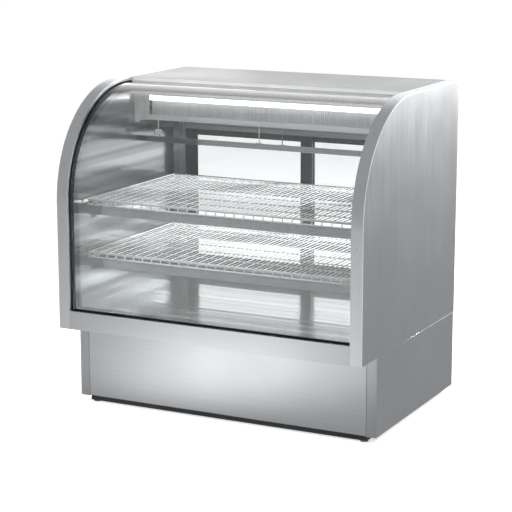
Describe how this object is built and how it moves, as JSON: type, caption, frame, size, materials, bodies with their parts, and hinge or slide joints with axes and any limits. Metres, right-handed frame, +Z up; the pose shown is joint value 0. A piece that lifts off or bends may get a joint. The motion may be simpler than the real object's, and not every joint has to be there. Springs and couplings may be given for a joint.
{
  "type": "refrigerated deli case",
  "caption": "Free-standing refrigerated deli case with a curved glass front, stainless end walls, wire shelves, lamp, cooling coil and sliding rear doors.",
  "frame": {"origin": "on the floor under the middle of the case's bounding box", "axes": "+X to the customer's right along the case, +Y from the glass front to the rear doors, +Z up"},
  "size_m": [1.226, 0.895, 1.213],
  "materials": {
    "brushed_stainless": "satin brushed stainless sheet, grain along the sheet",
    "trim_stainless": "brushed stainless strip",
    "liner_stainless": "bright-rolled stainless liner",
    "polished_rail": "polished stainless channel",
    "galvanised_sheet": "galvanised sheet",
    "dark_steel": "dark painted steel",
    "foot_metal": "zinc-plated steel",
    "foam": "rigid polyurethane foam",
    "black_seal": "black sealing strip",
    "clear_glass": "clear curved glass",
    "door_glass": "clear flat glass",
    "door_frame": "dark anodised aluminium",
    "white_track": "white extruded track",
    "white_enamel": "white enamelled sheet",
    "lamp_light": "white glowing lamp tube",
    "fin_aluminium": "thin aluminium fins",
    "copper": "drawn copper tube",
    "coated_wire": "white plastic-coated steel wire",
    "compressor_black": "black painted steel shell",
    "black_plastic": "black moulded plastic",
    "black_rubber": "black rubber",
    "fan_plastic": "pressed aluminium blade",
    "motor_metal": "grey painted motor can",
    "drain_plastic": "light plastic pipe",
    "screw_metal": "stainless screw head"
  },
  "bodies": {
    "cabinet": {"base_rails": "dark_steel", "base_floor_pan": "galvanised_sheet", "base_posts": "galvanised_sheet", "base_front_panel": "brushed_stainless", "base_side_panel_left": "brushed_stainless", "base_side_panel_right": "brushed_stainless", "base_rear_grille": "brushed_stainless", "compressor": "compressor_black", "compressor_grommets": "black_rubber", "condenser_coil": "fin_aluminium", "fan_shroud": "galvanised_sheet", "fan_motor": "motor_metal", "filter_drier": "copper", "refrigerant_lines": "copper", "condensate_pan": "galvanised_sheet", "electrical_box": "dark_steel", "power_inlet": "black_plastic", "drain_tube": "drain_plastic", "floor_underpan": "galvanised_sheet", "cabinet_foam": "foam", "deck_pan": "liner_stainless", "front_apron": "brushed_stainless", "end_skin_left": "brushed_stainless", "end_skin_right": "brushed_stainless", "end_foam": "foam", "end_liner_left": "liner_stainless", "end_liner_right": "liner_stainless", "end_trim_left": "trim_stainless", "end_trim_right": "trim_stainless", "trim_screws": "screw_metal", "glass_gaskets": "black_seal", "glass_outer": "clear_glass", "glass_inner": "clear_glass", "glass_spacer": "black_seal", "top_panel": "brushed_stainless", "ceiling_liner": "liner_stainless", "lamp_housing": "white_enamel", "lamp_tube": "lamp_light", "evaporator_fins": "fin_aluminium", "evaporator_tubes": "copper", "coil_brackets": "white_enamel", "drip_pan": "polished_rail", "pan_hangers": "white_enamel", "rear_frame": "brushed_stainless", "door_tracks": "white_track", "shelf_rails": "polished_rail", "shelf_clips": "polished_rail"},
    "door_left": {"rear_door_left": "door_frame", "door_glass_left": "door_glass"},
    "door_right": {"rear_door_right": "door_frame", "door_glass_right": "door_glass"},
    "shelf_upper": {"shelf_wire_upper": "coated_wire"},
    "shelf_lower": {"shelf_wire_lower": "coated_wire"},
    "foot_front_left": {"leveling_foot_fl": "foot_metal"},
    "foot_front_right": {"leveling_foot_fr": "foot_metal"},
    "foot_rear_left": {"leveling_foot_rl": "foot_metal"},
    "foot_rear_right": {"leveling_foot_rr": "foot_metal"},
    "fan": {"fan_blade": "fan_plastic"},
    "knob": {"thermostat_knob": "black_plastic"},
    "switch": {"light_switch": "black_plastic"}
  },
  "joints": [
    {"name": "rear_door_left_slide", "type": "slide", "parent": "cabinet", "child": "door_left", "axis": [1, 0, 0], "range_m": [0, 0.514]},
    {"name": "rear_door_right_slide", "type": "slide", "parent": "cabinet", "child": "door_right", "axis": [1, 0, 0], "range_m": [-0.514, 0]},
    {"name": "upper_shelf_lift", "type": "slide", "parent": "cabinet", "child": "shelf_upper", "axis": [0, 0, 1], "range_m": [0, 0.03]},
    {"name": "lower_shelf_lift", "type": "slide", "parent": "cabinet", "child": "shelf_lower", "axis": [0, 0, 1], "range_m": [0, 0.03]},
    {"name": "leveling_foot_front_left", "type": "slide", "parent": "cabinet", "child": "foot_front_left", "axis": [0, 0, -1], "range_m": [0, 0.015]},
    {"name": "leveling_foot_front_right", "type": "slide", "parent": "cabinet", "child": "foot_front_right", "axis": [0, 0, -1], "range_m": [0, 0.015]},
    {"name": "leveling_foot_rear_left", "type": "slide", "parent": "cabinet", "child": "foot_rear_left", "axis": [0, 0, -1], "range_m": [0, 0.015]},
    {"name": "leveling_foot_rear_right", "type": "slide", "parent": "cabinet", "child": "foot_rear_right", "axis": [0, 0, -1], "range_m": [0, 0.015]},
    {"name": "condenser_fan_spin", "type": "hinge", "parent": "cabinet", "child": "fan", "pos_m": [0.285, 0.3435, 0.1555], "axis": [0, 1, 0], "continuous": true},
    {"name": "thermostat_turn", "type": "hinge", "parent": "cabinet", "child": "knob", "pos_m": [-0.485, 0.4255, 0.2055], "axis": [0, -1, 0], "range_deg": [0, 300]},
    {"name": "light_switch_rock", "type": "hinge", "parent": "cabinet", "child": "switch", "pos_m": [-0.485, 0.4195, 0.1235], "axis": [1, 0, 0], "range_deg": [0, 16]}
  ]
}
